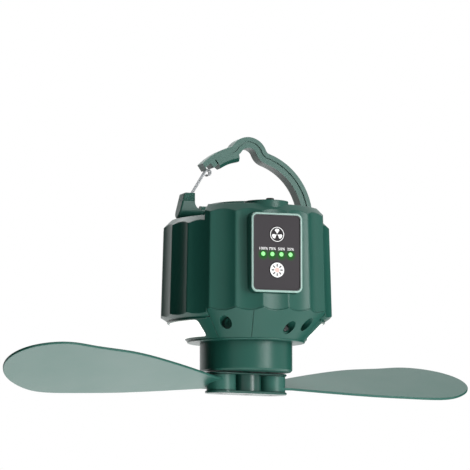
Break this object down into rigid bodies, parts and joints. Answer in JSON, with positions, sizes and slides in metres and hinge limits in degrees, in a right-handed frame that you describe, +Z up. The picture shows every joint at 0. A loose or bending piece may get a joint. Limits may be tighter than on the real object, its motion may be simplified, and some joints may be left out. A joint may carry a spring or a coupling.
{
  "type": "portable camping fan",
  "caption": "Hanging fan with a fluted drum body, folding carabiner handle, control panel, lamp windows under the drum and folding paddle blades on a spinning hub.",
  "frame": {"origin": "the hook seat: the highest point inside the hump of the handle", "axes": "+Z up, -Y towards the control panel, +X to the right as seen from the panel side"},
  "size_m": [0.3958, 0.173, 0.1907],
  "materials": {
    "green_plastic": "fine satin, dark green-grey",
    "hub_plastic": "fine satin",
    "blade_plastic": "fine satin, lighter green-grey",
    "frame_plastic": "satin pale green",
    "panel_plastic": "fine matte charcoal",
    "button_plastic": "fine matte charcoal",
    "plug_rubber": "matte black",
    "lens_plastic": "milky, lets light through",
    "reflector_plastic": "white",
    "led_plastic": "clear green",
    "receiver_plastic": "clear grey",
    "gate_wire": "polished wire",
    "screw_steel": "plain",
    "core_steel": "laminated",
    "coil_wire": "enamelled winding",
    "magnet": "plain",
    "inner_plastic": "plain black",
    "cell_can": "blue sleeve",
    "circuit_board": "lacquered"
  },
  "bodies": {
    "body": {"battery_cells": "cell_can", "battery_holder": "inner_plastic", "cap_face": "panel_plastic", "cap_screws": "screw_steel", "charge_lights": "led_plastic", "cone_housing": "green_plastic", "cover_screws": "screw_steel", "drum_shell": "green_plastic", "flange_ring": "green_plastic", "left_cone_cover": "green_plastic", "left_lamp_lens": "lens_plastic", "left_lamp_strip": "circuit_board", "left_reflector": "reflector_plastic", "lower_bearing": "screw_steel", "main_board": "circuit_board", "motor_housing": "green_plastic", "motor_plate": "inner_plastic", "panel_board": "circuit_board", "panel_face": "panel_plastic", "panel_frame": "frame_plastic", "pivot_cap": "green_plastic", "port_board": "circuit_board", "rear_cone_cover": "green_plastic", "remote_receiver": "receiver_plastic", "right_cone_cover": "green_plastic", "right_lamp_lens": "lens_plastic", "right_lamp_strip": "circuit_board", "right_reflector": "reflector_plastic", "stator_coils": "coil_wire", "stator_core": "core_steel", "tact_switches": "inner_plastic", "upper_bearing": "screw_steel", "usb_socket": "screw_steel"},
    "hub": {"motor_shaft": "screw_steel", "hub_top": "hub_plastic", "hub_bottom": "hub_plastic", "hub_post": "hub_plastic", "blade_pins": "screw_steel", "hub_screw": "screw_steel", "rotor_cup": "screw_steel", "rotor_magnets": "magnet"},
    "right_blade": {"right_blade": "blade_plastic"},
    "left_blade": {"left_blade": "blade_plastic"},
    "handle": {"handle": "green_plastic"},
    "gate": {"wire_gate": "gate_wire"},
    "fan_button": {"fan_button": "button_plastic"},
    "light_button": {"light_button": "button_plastic"},
    "port_plug": {"port_plug": "plug_rubber"}
  },
  "joints": [
    {"name": "hub_spin", "type": "hinge", "parent": "body", "child": "hub", "pos_m": [0, 0, -0.1732], "axis": [0, 0, 1], "continuous": true},
    {"name": "right_blade_fold", "type": "hinge", "parent": "hub", "child": "right_blade", "pos_m": [0.0213, 0.00551, -0.1732], "axis": [0, 0, 1], "range_deg": [0, 90]},
    {"name": "left_blade_fold", "type": "hinge", "parent": "hub", "child": "left_blade", "pos_m": [-0.0213, -0.00551, -0.1732], "axis": [0, 0, -1], "range_deg": [0, 90]},
    {"name": "handle_fold", "type": "hinge", "parent": "body", "child": "handle", "pos_m": [0, 0, -0.048], "axis": [-1, 0, 0], "range_deg": [0, 90]},
    {"name": "gate_swing", "type": "hinge", "parent": "handle", "child": "gate", "pos_m": [-0.0453, 0, -0.0398], "axis": [0, 1, 0], "range_deg": [0, 20], "stiffness_Nm_per_rad": 0.03, "springref_deg": -11.46},
    {"name": "fan_button_press", "type": "slide", "parent": "body", "child": "fan_button", "axis": [0, 1, 0], "range_m": [0, 0.0006], "stiffness_N_per_m": 1500, "springref_m": -0.0004},
    {"name": "light_button_press", "type": "slide", "parent": "body", "child": "light_button", "axis": [0, 1, 0], "range_m": [0, 0.0006], "stiffness_N_per_m": 1500, "springref_m": -0.0004},
    {"name": "port_plug_lift", "type": "slide", "parent": "body", "child": "port_plug", "axis": [0, 0, 1], "range_m": [0, 0.006]}
  ]
}
